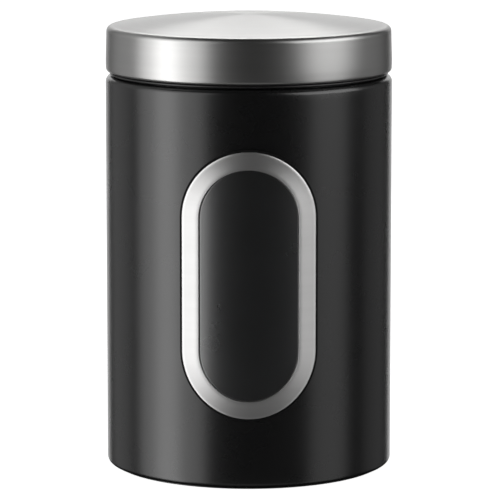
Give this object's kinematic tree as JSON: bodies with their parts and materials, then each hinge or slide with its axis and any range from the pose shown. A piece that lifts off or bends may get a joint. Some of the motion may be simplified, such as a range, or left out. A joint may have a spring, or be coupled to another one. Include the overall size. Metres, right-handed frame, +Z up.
{
  "type": "coffee canister",
  "caption": "Cylindrical steel food canister with a tall round-ended window in its front and a domed steel lid that lifts off its sealed neck.",
  "frame": {"origin": "centre of the circular footprint, on the surface that the canister stands on", "axes": "+Z up along the body's axis; the window faces -Y; +X to the right of someone who looks at the window"},
  "size_m": [0.11, 0.1118, 0.1744],
  "materials": {
    "black_coat": "satin black powder coat, very fine texture",
    "lid_steel": "satin stainless, brushed round the skirt and spun on the dome",
    "bezel_steel": "satin stainless with a fine cross grain",
    "black_plastic": "moulded black, satin",
    "black_rubber": "matt black",
    "silicone": "milky, satin",
    "window_acrylic": "polished, slightly smoked"
  },
  "bodies": {
    "canister": {"body_shell": "black_coat", "base_plate": "black_coat", "foot_ring": "black_plastic", "neck_collar": "black_plastic", "window_gasket": "black_rubber", "window_bezel": "bezel_steel", "window_pane": "window_acrylic", "window_retainer": "black_plastic"},
    "lid": {"lid_cap": "lid_steel", "lid_insert": "black_plastic", "lid_seal": "silicone"}
  },
  "joints": [
    {"name": "lid_lift", "type": "slide", "parent": "canister", "child": "lid", "axis": [0, 0, 1], "range_m": [0, 0.1]}
  ]
}
